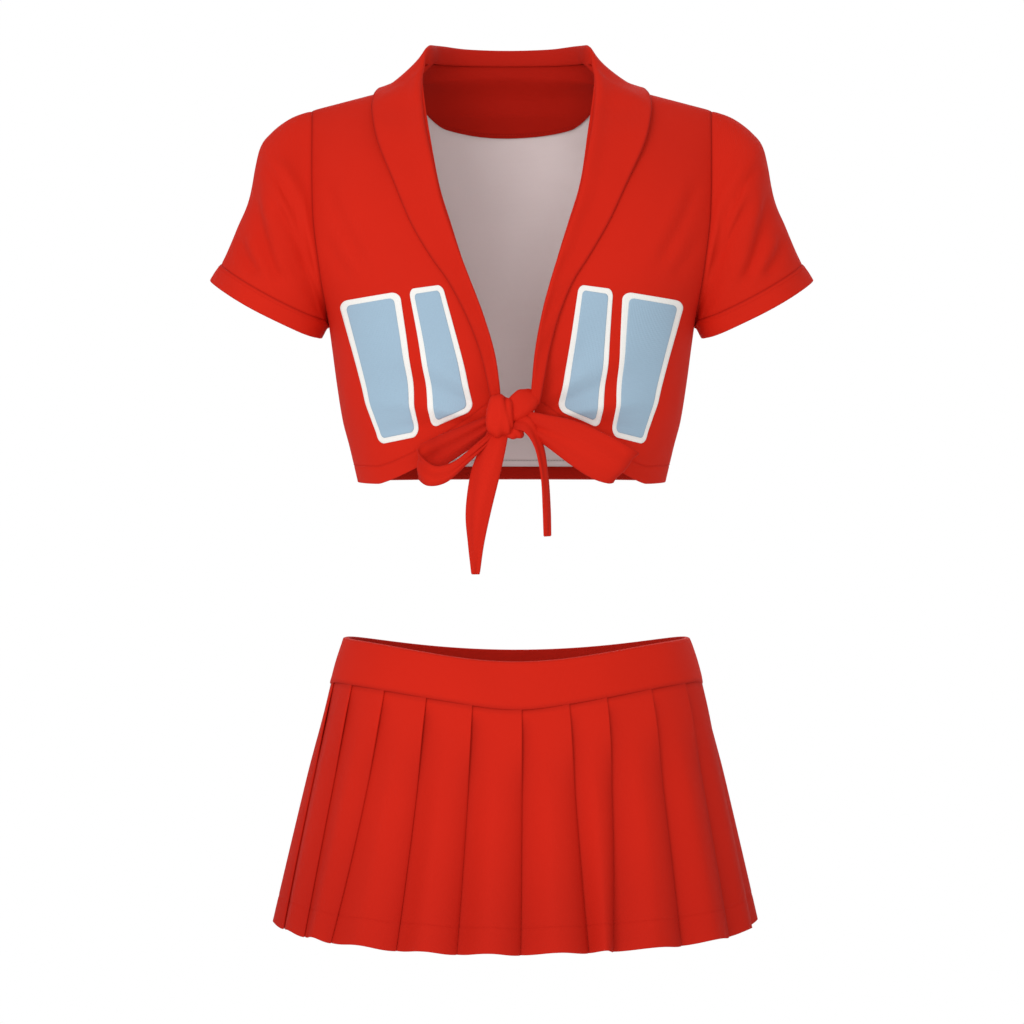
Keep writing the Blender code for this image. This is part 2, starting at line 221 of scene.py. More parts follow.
def settled(p, hang):
    """The points once the worn garment has settled a little to one side of the middle."""
    x, z = p[..., 0], p[..., 2]
    if hang == "skirt":
        return p + points(2.8, 0 * x, 0)
    if hang == "top":
        near = -3.8 + 5.7 * smooth((385 - z) / 135) - 0.9 * smooth((z - 440) / 60)
        return p + points(mix(near, -1.7, smooth((np.abs(x) - 85) / 50)), 0, 0)
    return p


# ---- materials


def new_material(name):
    made = bpy.data.materials.new(name)
    made.use_nodes = True
    return made, made.node_tree, made.node_tree.nodes["Principled BSDF"]


def set_up(made, **settings):
    """Sets a node's inputs, which start with a capital, and its own settings."""
    for key, value in settings.items():
        if key[0].isupper():
            made.inputs[key.replace("_", " ")].default_value = value
        else:
            setattr(made, key, value)
    return made


def node(tree, kind, **settings):
    return set_up(tree.nodes.new(kind), **settings)


def noise_of(tree, coordinates, scale, detail=2.0):
    made = node(tree, "ShaderNodeTexNoise", Scale=scale, Detail=detail)
    tree.links.new(coordinates, made.inputs["Vector"])
    return made.outputs["Fac"]


def maths(tree, operation, a, b=0.5, c=0.5):
    made = node(tree, "ShaderNodeMath", operation=operation)
    for socket, value in zip(made.inputs, (a, b, c)):
        if isinstance(value, (int, float)):
            socket.default_value = value
        else:
            tree.links.new(value, socket)
    return made.outputs[0]


def grey_of(tree, tone):
    made = node(tree, "ShaderNodeCombineColor")
    for socket in made.inputs:
        tree.links.new(tone, socket)
    return made.outputs[0]


def cloth_material(name, colour, deep, rib=1150.0, sheen=0.05):
    """Knit cloth: fine ribs along the cloth's own grain, heather, and painted shade: the colour turns towards its
    darker shade colour where the per-point shade attribute is low.
    """
    made, tree, shader = new_material(name)
    link = tree.links.new
    uv = node(tree, "ShaderNodeUVMap", uv_map="grain").outputs[0]
    broad = noise_of(tree, node(tree, "ShaderNodeTexCoord").outputs["Object"], 9.0, 3.0)
    fine = noise_of(tree, uv, 1400.0)
    parts = node(tree, "ShaderNodeSeparateXYZ")
    link(uv, parts.inputs[0])
    across = maths(tree, "SINE", maths(tree, "MULTIPLY", parts.outputs[0], rib * TAU))
    along = maths(tree, "SINE", maths(tree, "MULTIPLY", parts.outputs[1], rib * TAU * 0.8))
    knit = maths(tree, "MULTIPLY_ADD", along, 0.4, across)
    tone = maths(tree, "MULTIPLY_ADD", fine, 0.10, maths(tree, "MULTIPLY_ADD", broad, 0.10, 0.90))
    tone = maths(tree, "MULTIPLY_ADD", knit, 0.012, tone)
    mixed = node(tree, "ShaderNodeMix", data_type="RGBA")
    mixed.inputs[6].default_value, mixed.inputs[7].default_value = (*deep, 1), (*colour, 1)
    # The per-point attribute is painted shade: where it is low, the colour is mixed towards the darker shade colour.
    link(node(tree, "ShaderNodeAttribute", attribute_name="tint").outputs["Fac"], mixed.inputs[0])
    toned = node(tree, "ShaderNodeMix", data_type="RGBA", blend_type="MULTIPLY")
    toned.inputs[0].default_value = 1.0
    link(mixed.outputs[2], toned.inputs[6])
    link(grey_of(tree, tone), toned.inputs[7])
    link(toned.outputs[2], shader.inputs["Base Color"])
    link(maths(tree, "MULTIPLY_ADD", fine, 0.12, 0.72), shader.inputs["Roughness"])
    set_up(shader, Specular_IOR_Level=0.12, Sheen_Weight=sheen, Sheen_Roughness=0.5, Sheen_Tint=(*colour, 1))
    ripple = node(tree, "ShaderNodeBump", Strength=0.5, Distance=0.00012)
    link(maths(tree, "MULTIPLY_ADD", fine, 0.8, knit), ripple.inputs["Height"])
    link(ripple.outputs[0], shader.inputs["Normal"])
    return made


# Each cloth's second colour is its painted shade colour, shown where the per-point painted shade is low.
red = cloth_material("red_knit_face", (0.62, 0.0155, 0.0045), (0.30, 0.006, 0.003))
# A darker copy of the red knit: painted shade for the facings and inner layers that lie in shade.
red_painted_shade = cloth_material("red_knit_painted_shade", (0.41, 0.0075, 0.0015), (0.18, 0.004, 0.002))
grey = cloth_material("grey_wrong_side", (0.80, 0.71, 0.70), (0.40, 0.35, 0.345))
white = cloth_material("white_twill_face", (0.88, 0.86, 0.82), (0.55, 0.52, 0.50), rib=700.0)
blue = cloth_material("blue_twill_face", (0.345, 0.48, 0.60), (0.20, 0.30, 0.40), rib=700.0)
thread = cloth_material("red_thread", (0.58, 0.014, 0.005), (0.25, 0.008, 0.005), rib=2500.0, sheen=0.3)
thread_grey = cloth_material("grey_thread", (0.36, 0.31, 0.30), (0.2, 0.17, 0.17), rib=2500.0, sheen=0.2)
elastic = cloth_material("elastic_weave", (0.80, 0.80, 0.78), (0.5, 0.5, 0.5), rib=500.0)

# ---- meshes


def grid(across, along):
    """Arrays U and V, from 0 to 1. across and along are numbers of steps, or the places of the lines."""
    u, v = (np.linspace(0, 1, n + 1) if np.isscalar(n) else np.array(n, float) for n in (across, along))
    return np.meshgrid(u, v)


def lines_near(steps, marks, length):
    """Even steps from 0 to 1, with closer ones round each mark. marks are in mm of length."""
    even = np.linspace(0, 1, steps + 1)
    extra = np.array([(m + o) / length for m in marks for o in (-3.0, -1.8, -0.9, 0, 0.9, 1.8, 3.0)])
    extra = extra[(extra > 0) & (extra < 1)]
    kept = [e for e in even if e in (0, 1) or not len(extra) or np.abs(extra - e).min() > 0.45 / steps]
    return np.unique(np.round(np.r_[kept, extra], 7))


def normals_of(p, ring=False):
    if ring:
        wide = np.concatenate([p[:, -2:-1], p, p[:, 1:2]], 1)
        across = wide[:, 2:] - wide[:, :-2]
    else:
        across = np.gradient(p, axis=1)
    return unit(np.cross(across, np.gradient(p, axis=0)))


def facing(p, away, ring=False, columns=slice(None)):
    """1 if the grid's normals look away from a place or along a way out, and -1 if they look back."""
    return 1 if (normals_of(p, ring) * away)[:, columns].sum() > 0 else -1


def grain_of(p):
    """Each point's place on the flat cloth, in metres, read from lengths along the grid."""
    across = np.linalg.norm(np.diff(p, axis=1), axis=-1).mean(0)
    along = np.linalg.norm(np.diff(p, axis=0), axis=-1).mean(1)
    u, v = np.r_[0, np.cumsum(across)], np.r_[0, np.cumsum(along)]
    return np.stack(np.meshgrid(u, v), -1) * MM


def new_object(name, data):
    made = bpy.data.objects.new(name, data)
    bpy.context.scene.collection.objects.link(made)
    return made


class Piece:
    """Collects shells and stitches, and makes one object of them."""

    def __init__(self, name, *materials, hang="top"):
        self.name, self.materials, self.hang = name, materials, hang
        self.verts, self.faces, self.slots, self.tints, self.grains = [], [], [], [], []
        self.count = 0

    def add(self, verts, faces, slots, tints, grains):
        self.verts.append(verts)
        self.faces += [tuple(int(i) + self.count for i in f) for f in faces]
        self.slots += list(slots)
        self.tints.append(tints)
        self.grains.append(grains)
        self.count += len(verts)

    def shell(self, p, thick=1.1, side=1, face=0, wrong=1, edge=0, ring=False, tint=None, inner_painted_shade=None):
        """A cloth over grid p. side is 1 or -1 for the way its face looks; a ring's last column is its first.
        face, wrong and edge are material slots, and wrong may be one for each square of the grid."""
        n = normals_of(p, ring) * side
        grain = grain_of(p)
        # Painted shade per point, on the face and on the wrong side: 1 is none, lower is darker.
        tint = np.broadcast_to(1.0 if tint is None else tint, p.shape[:2])
        inner_painted_shade = tint if inner_painted_shade is None else inner_painted_shade
        rows, columns = p.shape[:2]
        if ring:
            columns -= 1
            cut = slice(0, columns)
            p, n, grain, tint, inner_painted_shade = p[:, cut], n[:, cut], grain[:, cut], tint[:, cut], inner_painted_shade[:, cut]
        total = rows * columns
        a = np.arange(total).reshape(rows, columns)
        right = np.roll(a, -1, 1) if ring else a[:, 1:]
        left = a if ring else a[:, :-1]
        quads = np.stack([left[:-1], right[:-1], right[1:], left[1:]], -1).reshape(-1, 4)
        if side < 0:
            quads = quads[:, ::-1]
        faces = [*quads, *(quads[:, ::-1] + total)]
        wrong_slots = np.broadcast_to(wrong, (rows - 1, len(quads) // (rows - 1)))
        slots = [face] * len(quads) + wrong_slots.reshape(-1).tolist()
        verts = [(p + n * thick / 2).reshape(-1, 3), (p - n * thick / 2).reshape(-1, 3)]
        tints = [tint.reshape(-1), inner_painted_shade.reshape(-1)]
        grains = [grain.reshape(-1, 2)] * 2
        if ring:
            loops = [(a[0], a[1]), (a[-1][::-1], a[-2][::-1])]
        else:
            edge_loop = np.r_[a[0, :-1], a[:-1, -1], a[-1, :0:-1], a[:0:-1, 0]]
            inner = a[1:-1, 1:-1]
            near = np.r_[inner[0, [0, *range(columns - 2)]], inner[[0, *range(rows - 2)], -1],
                         inner[-1, [-1, *range(columns - 3, -1, -1)]], inner[[-1, *range(rows - 3, -1, -1)], 0]]
            loops = [(edge_loop, near)]
        flat, flat_grain, base = p.reshape(-1, 3), grain.reshape(-1, 2), 2 * total
        for loop, near in loops:
            verts.append(flat[loop] + unit(flat[loop] - flat[near]) * thick * 0.4)
            tints.append(tint.reshape(-1)[loop])
            grains.append(flat_grain[loop])
            middle = base + np.arange(len(loop))
            after, after_middle = np.roll(loop, -1), np.roll(middle, -1)
            for wall in ((middle, after_middle, after, loop), (loop + total, after + total, after_middle, middle)):
                faces += [*np.stack(wall[::side], 1)]
            slots += [edge] * (2 * len(loop))
            base += len(loop)
        self.add(np.vstack(verts), faces, slots, np.concatenate(tints), np.vstack(grains))

    def tube(self, p, tint=1.0):
        """A closed form over grid p, whose rows are rings. A ring's last point is its first."""
        p = p[:, :-1]
        rows, columns = p.shape[:2]
        a = np.arange(rows * columns).reshape(rows, columns)
        right = np.roll(a, -1, 1)
        faces = [*np.stack([a[:-1], right[:-1], right[1:], a[1:]], -1).reshape(-1, 4), a[0][::-1], a[-1]]
        grain = grain_of(np.concatenate([p, p[:, :1]], 1))[:, :-1]
        tints = np.broadcast_to(tint, p.shape[:2]).reshape(-1)
        self.add(p.reshape(-1, 3), faces, [0] * len(faces), tints, grain.reshape(-1, 2))

    def stitches(self, line, normal, slot, pitch=2.9, share=0.68, radius=0.28, lift=0.1):
        """A row of short raised threads along a line of points, each with the cloth's normal there."""
        run = np.r_[0, np.cumsum(np.linalg.norm(np.diff(line, axis=0), axis=1))]
        starts = np.arange(pitch * 0.2, run[-1] - pitch * share, pitch)

        def read(values, s):
            return np.stack([np.interp(s, run, values[:, k]) for k in range(3)], -1)

        turn = np.arange(5) * TAU / 5
        profile = ((0.0, 0.25, -0.3), (0.18, 0.9, 0.35), (0.5, 1.0, 0.6), (0.82, 0.9, 0.35), (1.0, 0.25, -0.3))
        rings = []
        for along, girth, height in profile:
            s = starts + along * pitch * share
            at, up = read(line, s), read(normal, s)
            beside = np.cross(up, unit(read(line, s + 0.5) - at))
            centre = at + up * (lift + radius * height)
            rings.append(centre[:, None] + radius * girth * (
                beside[:, None] * np.cos(turn)[None, :, None] + up[:, None] * np.sin(turn)[None, :, None]))
        verts = np.stack(rings, 1)
        each = verts.shape[1] * 5
        a = np.arange(each).reshape(-1, 5)
        right = np.roll(a, -1, 1)
        one = np.stack([a[:-1], right[:-1], right[1:], a[1:]], -1).reshape(-1, 4)
        faces = []
        for k in range(len(starts)):
            faces += [*(one + k * each), a[0][::-1] + k * each, a[-1] + k * each]
        total = len(starts) * each
        self.add(verts.reshape(-1, 3), faces, [slot] * len(faces), np.ones(total), np.zeros((total, 2)))

    def make(self):
        verts = settled(np.vstack(self.verts), self.hang) * MM
        mesh = bpy.data.meshes.new(self.name)
        mesh.from_pydata(verts.tolist(), [], self.faces)
        mesh.polygons.foreach_set("material_index", np.array(self.slots, np.int32))
        mesh.polygons.foreach_set("use_smooth", np.ones(len(self.faces), bool))
        # The per-point painted shade goes into a mesh attribute that the cloth materials read.
        attribute = mesh.attributes.new("tint", "FLOAT", "POINT")
        attribute.data.foreach_set("value", np.concatenate(self.tints).astype(np.float32))
        layer = mesh.uv_layers.new(name="grain")
        corner = np.zeros(len(mesh.loops), np.int32)
        mesh.loops.foreach_get("vertex_index", corner)
        layer.data.foreach_set("uv", np.vstack(self.grains)[corner].astype(np.float32).ravel())
        for material in self.materials:
            mesh.materials.append(material)
        bm = bmesh.new()
        bm.from_mesh(mesh)
        bmesh.ops.recalc_face_normals(bm, faces=bm.faces)
        bm.to_mesh(mesh)
        bm.free()
        mesh.update()
        return new_object(self.name, mesh)


def finished(piece, *nodes, body="top", bends=None, slot="red_knit", **cut):
    """Makes the piece, sets it on the body it rides on, or bakes its place into its mesh if it bends, and hides the CAD
    parts it stands for.
    """
    made = piece.make()
    if not bends:
        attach(made, body)
    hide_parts(*nodes)
    if bends:
        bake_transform(made)


SIDES = (("left", 1), ("right", -1))


def on_side(p, sign):
    """The grid for the left (1), or on the right (-1) with its columns turned round so that its face stays out."""
    return p if sign > 0 else turned(p, sign) * MIRROR


def turned(values, sign):
    return values if sign > 0 else values[:, ::-1]


# ---- the chest's cloth, with its drag folds

KNOT_Z = 222.0


def chest_folds(x, z):
    """How far the front's cloth stands out in soft folds that run from the knot towards the sides."""
    out, dz = np.abs(x), z - KNOT_Z
    reach, angle = np.hypot(out, dz), np.degrees(np.arctan2(dz, out))
    height = np.zeros_like(reach)
    for at, wide, tall, near, far in (
        (-17, 3.6, 2.4, 45, 150), (-7, 4.2, -2.2, 40, 165), (5, 4.5, 2.4, 45, 170), (18, 5.5, -1.6, 40, 150),
        (32, 6.0, 1.6, 40, 150), (47, 7.0, -1.2, 50, 160),
    ):
        wave = at + 2.2 * np.sin(reach / 34 + at)
        height += tall * bump(angle - wave, wide) * smooth((reach - near * 0.3) / near) * smooth((far - reach) / 70)
    at_side = smooth((out - 120) / 40) * smooth((310 - z) / 90) * smooth((z - 165) / 40)
    height += 1.1 * at_side * np.sin((z - 200) / 15.0 + 1.3 * np.sin(x / 30))
    for line, deep in ((((176, 446), (158, 402), (134, 357)), 1.9), (((176, 392), (163, 368), (148, 350)), 1.3)):
        height += crease(out, z, line, 6.5, deep)
    return height * smooth((table(SIDE_X, z) - out) / 9)


def chest_cloth(x, z, lift=0.0):
    n = body_normal(chest, x, z)
    fade = smooth((shoulder_z(x) - z) / 40)
    return chest(x, z) + n * (chest_folds(x, z) * fade + lift)[..., None]


def seam_dip(distance, wide=2.0, deep=0.9):
    """A groove beside a seam: how far the cloth turns in at this distance from it."""
    return deep * np.exp(-distance / wide)


# Painted shade in the groove along a seam: how dark the colour is made at this distance from it.
def seam_painted_shade(distance, wide=1.6, dark=0.65):
    return 1 - dark * bump(distance, wide)


NEAR_SHOULDER = np.array([0, 0.14, 0.55, 1.24, 2.2, 3.4, 4.9, 6.7, 8.7, 11.0])


def rows_to_shoulder(steps, marks, length):
    """Lines up the cloth, closer together where it rounds over the shoulder."""
    rows = lines_near(steps, marks, length)
    return np.r_[rows[rows < 1 - 13.0 / length], 1 - NEAR_SHOULDER[::-1] / length]


FRONT_FACING_SHARE = 0.12  # of a front panel's width, beside the collar
FRONT_LENGTH, BACK_LENGTH, FACING_LENGTH = 351.0, 390.0, 68.0


def front_panels():
    hem = 16.0
    for side, sign in SIDES:
        vs = rows_to_shoulder(110, (hem, 0.8), FRONT_LENGTH)
        u, v = grid(np.unique(np.r_[np.linspace(0, 1, 73), 0.9965, 0.992, 0.98]), vs)
        inner = roll_x(mix(ROLL_LINE[-1][2], SHOULDER_Z, v)) + 3.0
        z = mix(HEM_Z, SHOULDER_Z, v)
        for _ in range(5):
            outer = table(SIDE_X, z)
            x = outer * np.sin(mix(np.arcsin((inner / outer) ** 1.2), math.pi / 2, u)) ** (1 / 1.2)
            z = mix(front_hem_z(x), shoulder_z(x), v) - 0.6 * np.sin(x / 19.0) * (1 - v) ** 4 * smooth((outer - x) / 20)
        p = chest_cloth(x, z)
        n = body_normal(chest, x, z)
        to_side, to_hem = run_from_end(p, 1), z - front_hem_z(x)
        dip = seam_dip(to_side) * smooth((z - UNDERARM_Z) / 20) + 0.3 * bump(to_hem - hem, 1.3)
        p = p - n * dip[..., None]
        # Painted shade: darker in the seam groove at the side, along the hem's stitch line and at the top edge.
        tint = seam_painted_shade(to_side) * (1 - 0.2 * bump(to_hem - hem, 0.9)) * seam_painted_shade(run_from_end(p, 0), 1.2, 0.4)
        piece = Piece(f"{side}_front_cloth", red, grey, thread, red_painted_shade)
        faced = np.where(u[:-1, :-1] < FRONT_FACING_SHARE, 3, 1)
        piece.shell(on_side(p, sign), wrong=turned(faced, sign), tint=turned(tint, sign))
        row = int(np.abs(vs * FRONT_LENGTH - hem).argmin())
        up = on_side(n, sign)[row]
        piece.stitches(on_side(p, sign)[row] + up * 0.55, up, 2)
        finished(piece, f"{side}_front_panel", flat=(0.20, 0.40), held="draped", area=0.052, rests_on=["back_cloth"])


def back_panel():
    hem = 18.0
    close = np.array([0.98, 0.992, 0.9965])
    vs = rows_to_shoulder(105, (hem,), BACK_LENGTH)
    side_share, v = grid(np.unique(np.r_[np.linspace(-1, 1, 111), close, -close]), vs)
    z = mix(HEM_Z, SHOULDER_Z, v)
    for _ in range(5):
        x = table(SIDE_X, z) * np.sign(side_share) * np.abs(np.sin(side_share * math.pi / 2)) ** (1 / 1.2)
        z = mix(HEM_Z, back_top_z(x), v)
    n = body_normal(back, x, z)
    hollow = -3.5 * bump(x, 42) * smooth((z - 200) / 80) * smooth((430 - z) / 120)
    folds = 0.9 * np.sin(z / 21 + 2 * np.sin(x / 60)) * smooth((np.abs(x) - 60) / 70) * smooth((330 - z) / 110)
    blades = 2.5 * bump(np.hypot(np.abs(x) - 72, (z - 415) * 0.7), 38)
    p = back(x, z)
    p[:, [0, -1], 1] -= 0.4 * (np.abs(p[:, [0, -1], 1]) < 2)  # so that the side seams let no light through
    to_side = np.minimum(run_from_end(p, 1), run_from_end(p[:, ::-1], 1)[:, ::-1])
    to_stitch = bump(z - HEM_Z - hem, 0.9)
    dip = seam_dip(to_side) * smooth((z - UNDERARM_Z) / 20) + 0.3 * bump(z - HEM_Z - hem, 1.3)
    p = p - n * (dip - (hollow + folds + blades) * smooth(to_side / 30))[..., None]
    # Painted shade: darker in the side seams' grooves, along the hem's stitch line on both sides of the cloth, and at
    # the top edge.
    tint = seam_painted_shade(to_side) * (1 - 0.35 * to_stitch) * seam_painted_shade(run_from_end(p, 0), 1.2, 0.4)
    piece = Piece("back_cloth", red, grey, thread, thread_grey, red_painted_shade)
    faced = np.where((v > 0.98) & (np.abs(x) < 112), 4, 1)[:-1, ::-1][:, :-1]
    piece.shell(p[:, ::-1], wrong=faced, tint=tint[:, ::-1], inner_painted_shade=1 - 0.45 * to_stitch[:, ::-1])
    row, inside = int(np.abs(vs * BACK_LENGTH - hem).argmin()), slice(3, -3)
    for way, slot in ((1, 2), (-1, 3)):
        piece.stitches((p + way * n * 0.55)[row, inside], way * n[row, inside], slot)
    turned_up = (p - n * 1.15)[: int(np.abs(vs * BACK_LENGTH - 11.5).argmin()) + 1, 4:-4] + points(0, 0, 0.5)
    piece.shell(turned_up[:, ::-1], thick=0.9, face=4, wrong=4, edge=4)
    finished(piece, "back_panel", flat=(0.44, 0.40), held="draped", area=0.155)


NECK_SEAM_Z = 557.0


def neck_ring(t, z, inset):
    """Along the inside of the collar's fold, at a height. t runs from 0, the middle of the back, as on the collar."""
    fold = collar_line(ROLL_LINE, t)
    return points(fold[..., 0] * (1 - inset / 110), fold[..., 1] - inset, np.minimum(z, fold[..., 2] - 2.0))


def neck_facing():
    u, v = grid(72, lines_near(30, (3.0,), FACING_LENGTH))
    across = 2 * u - 1
    t = np.abs(across) * (BACK_COLLAR_SHARE + 0.02)
    top = neck_ring(t, NECK_SEAM_Z + 2.5, 1.5) * points(np.sign(across), 1, 1)
    low_x = top[..., 0] * (1 + 0.35 * across**2)
    low_z = 490.0 + 13.0 * (low_x / 77) ** 2 + 20.0 * smooth((np.abs(low_x) - 60) / 45)
    x = mix(low_x, top[..., 0], v)
    z = np.minimum(mix(low_z, top[..., 2], v), back_top_z(x) - 4 + 14 * smooth((86 - np.abs(x)) / 8))
    body_z = np.minimum(z, back_top_z(x) - 5)
    n = body_normal(back, x, body_z)
    on_body = back(x, body_z) - n * (3.0 + 0.5 * np.sin(x / 13 + z / 22))[..., None]
    p = mix(on_body, points(x, top[..., 1], z), smooth((v - 0.49) / 0.51)[..., None])
    p[..., 1] -= 2.6 * bump(z - back_top_z(x) + 3, 8) * smooth((90 - np.abs(x)) / 12)
    piece = Piece("neck_facing_cloth", red_painted_shade, grey, thread)
    side = facing(p, points(0, -1, 0))
    # Painted shade: a dark line along the stitches near the top.
    piece.shell(p, thick=0.9, side=side, wrong=0, tint=1 - 0.4 * bump(v * FACING_LENGTH - 3.0, 0.9))
    piece.stitches((p - n * 0.45)[3], -n[3], 2)
    finished(piece, "back_neck_facing", flat=(0.24, 0.08), held="draped", area=0.0145, rests_on=["back_cloth"])


# ---- collar

ROUND_NECK = np.array([1, 1.6, 0])  # stretches a place into the way out from the neck
ROLL_SHARE = 0.33  # of the collar's section, where it rolls over


def collar_fall(t, s):
    """The collar from its fold (s 0) to its edge (s 1)."""
    fold, edge = collar_line(ROLL_LINE, t), collar_line(COLLAR_EDGE, t)
    at = mix(fold, edge, s[..., None])
    at_back = smooth((BACK_COLLAR_SHARE + 0.01 - t) / 0.05)
    at = at + unit(edge * ROUND_NECK) * (mix(16 * at_back, -24, bump(t - 0.245, 0.075)) * s * (1 - s))[..., None]
    return mix(laid_on(chest, at, mix(6.5, 1.9, smooth(s / 0.5))), laid_on(back, at, 2.8), at_back[..., None])


def shawl_collar():
    """One cloth from knot to knot: turned edge inside, roll over the fold, and fall over the chest."""
    ts = np.linspace(0, 1, 118)
    section = np.r_[0.0, 0.07, 0.14, 0.2, 0.25, 0.29, 0.33, 0.37, 0.41,
                    np.linspace(0.46, 0.93, 13), 0.955, 0.975, 0.99, 1]
    share, t = np.meshgrid(section, ts)
    fold, edge = collar_line(ROLL_LINE, t), collar_line(COLLAR_EDGE, t)
    across = edge - fold
    wide = np.linalg.norm(across, axis=-1, keepdims=True)
    across /= wide
    out = unit(np.cross(unit(collar_line(ROLL_LINE, t + 0.004) - collar_line(ROLL_LINE, t - 0.004)), across))
    out *= np.sign((out * fold * ROUND_NECK).sum(-1))[..., None]
    # inside the fold: the layer that goes down to the neck seam, or back behind the opening's edge
    at_back = smooth((BACK_COLLAR_SHARE + 0.02 - t) / 0.06)
    neck = neck_ring(t, NECK_SEAM_Z + 0 * t, 3.6)
    tuck_x = fold[..., 0] + 15 * smooth((0.99 - t) / 0.12) + 1
    tuck = chest(tuck_x, np.minimum(fold[..., 2], shoulder_z(tuck_x) - 2))
    tuck = tuck - 3.4 * body_normal(chest, tuck_x, fold[..., 2])
    inner = mix(tuck, neck, at_back[..., None])
    s_out = np.clip((share - ROLL_SHARE) / (1 - ROLL_SHARE), 0, 1)
    s_in = np.clip((ROLL_SHARE - share) / ROLL_SHARE, 0, 1)
    rolled = out * (5.2 * smooth(s_in * 2.5) * (1 - s_in))[..., None]
    inside = fold + (inner - fold) * smooth(s_in)[..., None] - rolled
    p = np.where((share >= ROLL_SHARE)[..., None], collar_fall(t, s_out), inside)
    for _ in range(3):
        between = p[:, 1:-1].copy()
        weight = (bump(share[:, 1:-1] - ROLL_SHARE, 0.12) * 0.5)[..., None]
        p[:, 1:-1] = between + weight * ((p[:, :-2] + p[:, 2:]) / 2 - between)
    lengthwise = 0.5 * np.sin(t * 60 + s_out * 4) * smooth(s_out / 0.4) * smooth((1 - s_out) / 0.3)
    p = p + normals_of(p) * lengthwise[..., None]
    sunk = np.clip((ts - 0.93) / 0.07, 0, 1)[:, None] ** 1.5
    p = p + points(-1 * sunk, -5 * sunk, -15 * sunk)
    # Painted shade: a dark line along the collar's edge, and the inside of the fold darker at the back of the neck.
    tint = seam_painted_shade((1 - s_out) * wide[..., 0], 1.3, 0.5)
    tint = tint * np.where(share < ROLL_SHARE, mix(1.0, 0.55, smooth(s_in * 4) * at_back), 1)
    piece = Piece("shawl_collar_cloth", red, red_painted_shade, thread)
    whole = np.vstack([(p * MIRROR)[:0:-1], p])
    side = facing(whole, whole * LEVEL, columns=slice(16, None))
    piece.shell(whole, thick=1.6, side=side, tint=np.vstack([tint[:0:-1], tint]))
    finished(piece, "back_collar", "collar_stand", "left_upper_collar", "right_upper_collar", "left_under_collar",
             "right_under_collar", "left_collar_interfacing", "right_collar_interfacing",
             flat=(0.11, 1.02), held="folded", area=0.085, rests_on=["left_front_cloth", "right_front_cloth"])


# ---- sleeves

ARM_TOP, ARM_UNDER = np.array(SLEEVE_TOP[0], float), np.array(SLEEVE_UNDER[0], float)
CUFF_WIDTH = 18.0
SLEEVE_CREASES = (  # soft valleys across the sleeve's front, as x, z
    ((236, 462), (216, 437), (198, 400), (184, 356)),
    ((245, 442), (238, 408), (226, 366), (215, 346)),
    ((226, 428), (205, 392), (186, 352)),
    ((258, 392), (250, 372), (236, 350)),
)


def crease(x, z, line, wide, deep):
    """A valley along a line, with a lower ridge beside it."""
    path = spline(line, np.linspace(0, 1, 40))
    dx, dz = x[..., None] - path[:, 0], z[..., None] - path[:, 1]
    gap = np.hypot(dx, dz)
    nearest = gap.argmin(-1)
    gap = gap.min(-1)
    ahead = np.gradient(path, axis=0)[nearest]
    dx, dz = (np.take_along_axis(d, nearest[..., None], -1)[..., 0] for d in (dx, dz))
    side = np.sign(dx * ahead[..., 1] - dz * ahead[..., 0])
    t = nearest / 39.0
    fade = smooth(t / 0.25) * smooth((1 - t) / 0.25) * 0.85 + 0.15
    return fade * (-deep * bump(gap, wide) + 0.6 * deep * bump(gap * side - 2.0 * wide, wide * 1.2))


def sleeve_surface(u, v):
    top = spline([(x, 0, z) for x, z in SLEEVE_TOP], v)
    under = spline([(x, 0, z) for x, z in SLEEVE_UNDER], v)
    turn = TAU * u
    at = (top + under) / 2 + (top - under) / 2 * np.cos(turn)[..., None]
    side, away = np.sin(turn), smooth(v / 0.4)
    start = ((ARM_TOP + ARM_UNDER) / 2)[:, None, None] + ((ARM_TOP - ARM_UNDER) / 2)[:, None, None] * np.cos(turn)
    seam_x = table(SIDE_X, start[1])
    depth = np.where(side > 0, body_depth(seam_x, start[1], BACK_Y), body_depth(seam_x, start[1], CHEST_Y))
    y = mix(np.sign(side) * depth, spline(SLEEVE_DEPTH, v)[..., 0] * side, away)
    x = at[..., 0] + (seam_x - start[0]) * (1 - away) + 0.3 - 2.0 * np.exp(-v / 0.012)
    bow = 6.5 * np.abs(side) ** 1.3 * smooth(v / 0.9)
    return points(x - bow * 0.35, y, at[..., 2] - bow)


def cuff_line(u):
    """Where along the sleeve its cuff starts, so that the cuff is as wide all round."""
    v = np.linspace(0, 1, 60)[:, None] + 0 * u[None]
    p = sleeve_surface(u[None] + 0 * v, v)
    left = np.cumsum(np.linalg.norm(np.diff(p[::-1], axis=0), axis=-1), 0)[::-1]
    wide = np.minimum(CUFF_WIDTH, left[2] * 0.9)
    return np.array([np.interp(-w, -l, v[:-1, 0]) for w, l in zip(wide, left.T)]), left[0]


def looking_out(p):
    """Which way the face of a tube's grid looks, and its outward normals."""
    looks = facing(p, p - p.mean(1, keepdims=True), ring=True)
    return looks, normals_of(p, ring=True) * looks


